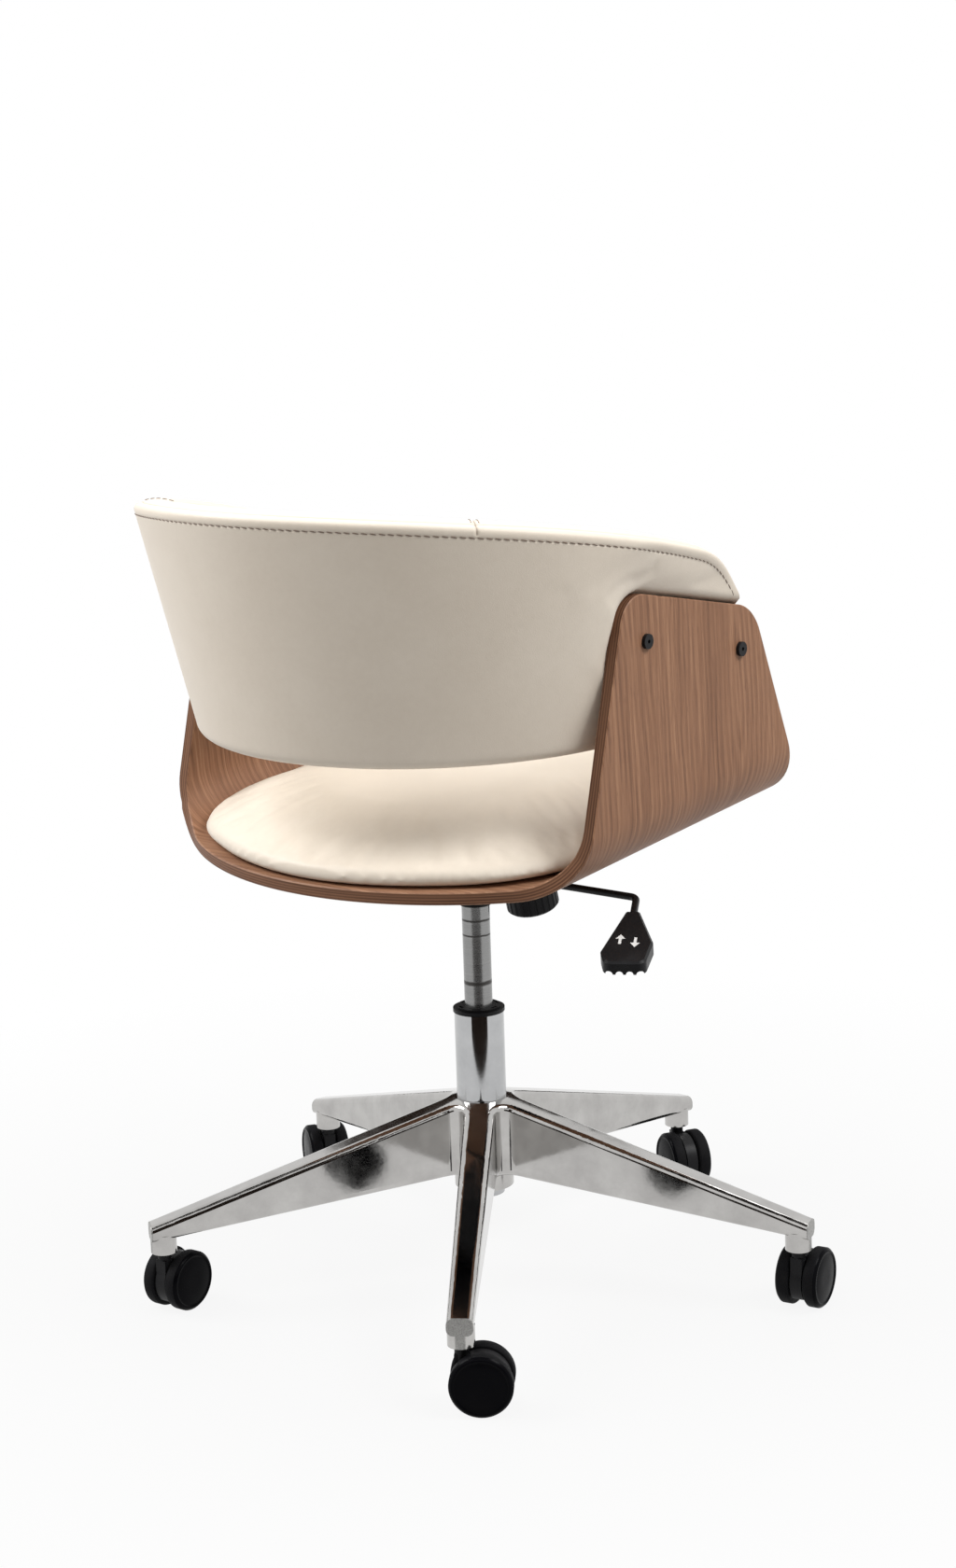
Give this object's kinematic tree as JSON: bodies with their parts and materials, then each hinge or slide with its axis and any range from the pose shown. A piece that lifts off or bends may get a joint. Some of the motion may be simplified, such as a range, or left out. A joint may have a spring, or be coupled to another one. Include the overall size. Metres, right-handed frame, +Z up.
{
  "type": "office chair",
  "caption": "Low-backed swivel tub chair: bent plywood shell, padded seat and wrap-round backrest, tilt mechanism and gas lift on a five-star base with twin-wheel casters.",
  "frame": {"origin": "on the floor, on the column's axis", "axes": "+Z up; the sitter faces -Y, and -X is the sitter's right hand"},
  "size_m": [0.6998, 0.6817, 0.8186],
  "materials": {
    "polished_aluminium": "polished",
    "chromed_steel": "polished",
    "black_plastic": "satin",
    "steel": "satin",
    "black_steel": "satin",
    "rubber": "matte",
    "walnut": "satin lacquer",
    "board": "raw",
    "leather": "soft grain",
    "gloss_black": "gloss"
  },
  "bodies": {
    "base": {"star_base": "polished_aluminium", "column_tube": "chromed_steel", "column_bush": "black_plastic", "caster_sleeves": "steel"},
    "rod": {"piston_rod": "steel", "thrust_bearing": "steel", "rod_clip": "steel", "bump_stop": "rubber"},
    "lift": {"gas_cylinder": "chromed_steel", "mechanism_housing": "black_steel", "cone_bush": "black_plastic", "pivot_pin": "chromed_steel", "pin_clips": "steel", "lever_bush": "black_plastic", "tilt_stop": "rubber", "spring_seat": "steel"},
    "valve": {"valve_button": "steel"},
    "lock": {"lock_slider": "black_plastic"},
    "lever": {"lever_rod": "black_steel", "lever_paddle": "black_plastic"},
    "seat": {"seat_plate": "black_steel", "pivot_bushes": "black_plastic", "tension_nut": "steel", "plate_bolts": "steel", "tee_nuts": "steel", "seat_shell": "walnut", "seat_board": "board", "seat_cushion": "leather", "back_former": "board", "back_cushion": "leather", "side_bolts": "black_steel", "side_inserts": "steel", "tension_spring": "steel"},
    "knob": {"tension_knob": "black_plastic", "tension_bolt": "steel"},
    "caster_1": {"caster_hood_1": "black_plastic", "caster_stem_1": "steel", "caster_axle_1": "steel"},
    "wheel_left_1": {"caster_wheel_left_1": "gloss_black"},
    "wheel_right_1": {"caster_wheel_right_1": "gloss_black"},
    "caster_2": {"caster_hood_2": "black_plastic", "caster_stem_2": "steel", "caster_axle_2": "steel"},
    "wheel_left_2": {"caster_wheel_left_2": "gloss_black"},
    "wheel_right_2": {"caster_wheel_right_2": "gloss_black"},
    "caster_3": {"caster_hood_3": "black_plastic", "caster_stem_3": "steel", "caster_axle_3": "steel"},
    "wheel_left_3": {"caster_wheel_left_3": "gloss_black"},
    "wheel_right_3": {"caster_wheel_right_3": "gloss_black"},
    "caster_4": {"caster_hood_4": "black_plastic", "caster_stem_4": "steel", "caster_axle_4": "steel"},
    "wheel_left_4": {"caster_wheel_left_4": "gloss_black"},
    "wheel_right_4": {"caster_wheel_right_4": "gloss_black"},
    "caster_5": {"caster_hood_5": "black_plastic", "caster_stem_5": "steel", "caster_axle_5": "steel"},
    "wheel_left_5": {"caster_wheel_left_5": "gloss_black"},
    "wheel_right_5": {"caster_wheel_right_5": "gloss_black"}
  },
  "joints": [
    {"name": "seat_swivel", "type": "hinge", "parent": "base", "child": "rod", "pos_m": [0, 0, 0.1], "axis": [0, 0, 1], "continuous": true},
    {"name": "seat_height", "type": "slide", "parent": "rod", "child": "lift", "axis": [0, 0, 1], "range_m": [-0.085, 0.008]},
    {"name": "tilt", "type": "hinge", "parent": "lift", "child": "seat", "pos_m": [0, -0.03, 0.455], "axis": [-1, 0, 0], "range_deg": [0, 12], "stiffness_Nm_per_rad": 120, "springref_deg": -20.05, "deforming": ["tension_spring"]},
    {"name": "tension_turn", "type": "hinge", "parent": "seat", "child": "knob", "pos_m": [0, -0.098, 0.357], "axis": [0, 0.2588, 0.9659], "continuous": true},
    {"name": "tilt_lock", "type": "slide", "parent": "lift", "child": "lock", "axis": [-1, 0, 0], "range_m": [0, 0.01]},
    {"name": "lever_lift", "type": "hinge", "parent": "lock", "child": "lever", "pos_m": [-0.024, 0.033, 0.434], "axis": [1, 0, 0], "range_deg": [0, 6], "stiffness_Nm_per_rad": 2, "springref_deg": -8.59},
    {"name": "valve_press", "type": "slide", "parent": "lift", "child": "valve", "axis": [0, 0, -1], "range_m": [0, 0.004]},
    {"name": "caster_swivel_1", "type": "hinge", "parent": "base", "child": "caster_1", "pos_m": [-0.18358, 0.27422, 0.064], "axis": [0, 0, 1], "continuous": true},
    {"name": "wheel_spin_left_1", "type": "hinge", "parent": "caster_1", "child": "wheel_left_1", "pos_m": [-0.1985, 0.26416, 0.03], "axis": [0.5592, -0.829, 0], "continuous": true},
    {"name": "wheel_spin_right_1", "type": "hinge", "parent": "caster_1", "child": "wheel_right_1", "pos_m": [-0.1985, 0.26416, 0.03], "axis": [0.5592, -0.829, 0], "continuous": true},
    {"name": "caster_swivel_2", "type": "hinge", "parent": "base", "child": "caster_2", "pos_m": [0.20408, 0.25933, 0.064], "axis": [0, 0, 1], "continuous": true},
    {"name": "wheel_spin_left_2", "type": "hinge", "parent": "caster_2", "child": "wheel_left_2", "pos_m": [0.20502, 0.24136, 0.03], "axis": [0.9986, 0.0523, 0], "continuous": true},
    {"name": "wheel_spin_right_2", "type": "hinge", "parent": "caster_2", "child": "wheel_right_2", "pos_m": [0.20502, 0.24136, 0.03], "axis": [0.9986, 0.0523, 0], "continuous": true},
    {"name": "caster_swivel_3", "type": "hinge", "parent": "base", "child": "caster_3", "pos_m": [0.3097, -0.11395, 0.064], "axis": [0, 0, 1], "continuous": true},
    {"name": "wheel_spin_left_3", "type": "hinge", "parent": "caster_3", "child": "wheel_left_3", "pos_m": [0.32427, -0.12453, 0.03], "axis": [0.5878, 0.809, 0], "continuous": true},
    {"name": "wheel_spin_right_3", "type": "hinge", "parent": "caster_3", "child": "wheel_right_3", "pos_m": [0.32427, -0.12453, 0.03], "axis": [0.5878, 0.809, 0], "continuous": true},
    {"name": "caster_swivel_4", "type": "hinge", "parent": "base", "child": "caster_4", "pos_m": [-0.01267, -0.32976, 0.064], "axis": [0, 0, 1], "continuous": true},
    {"name": "wheel_spin_left_4", "type": "hinge", "parent": "caster_4", "child": "wheel_left_4", "pos_m": [-0.02776, -0.31995, 0.03], "axis": [-0.5446, -0.8387, 0], "continuous": true},
    {"name": "wheel_spin_right_4", "type": "hinge", "parent": "caster_4", "child": "wheel_right_4", "pos_m": [-0.02776, -0.31995, 0.03], "axis": [-0.5446, -0.8387, 0], "continuous": true},
    {"name": "caster_swivel_5", "type": "hinge", "parent": "base", "child": "caster_5", "pos_m": [-0.31753, -0.08985, 0.064], "axis": [0, 0, 1], "continuous": true},
    {"name": "wheel_spin_left_5", "type": "hinge", "parent": "caster_5", "child": "wheel_left_5", "pos_m": [-0.31472, -0.10763, 0.03], "axis": [0.9877, 0.1564, 0], "continuous": true},
    {"name": "wheel_spin_right_5", "type": "hinge", "parent": "caster_5", "child": "wheel_right_5", "pos_m": [-0.31472, -0.10763, 0.03], "axis": [0.9877, 0.1564, 0], "continuous": true}
  ],
  "couplings": [
    {"joint": "valve_press", "follows": "lever_lift", "m_per_rad": 0.0365}
  ]
}
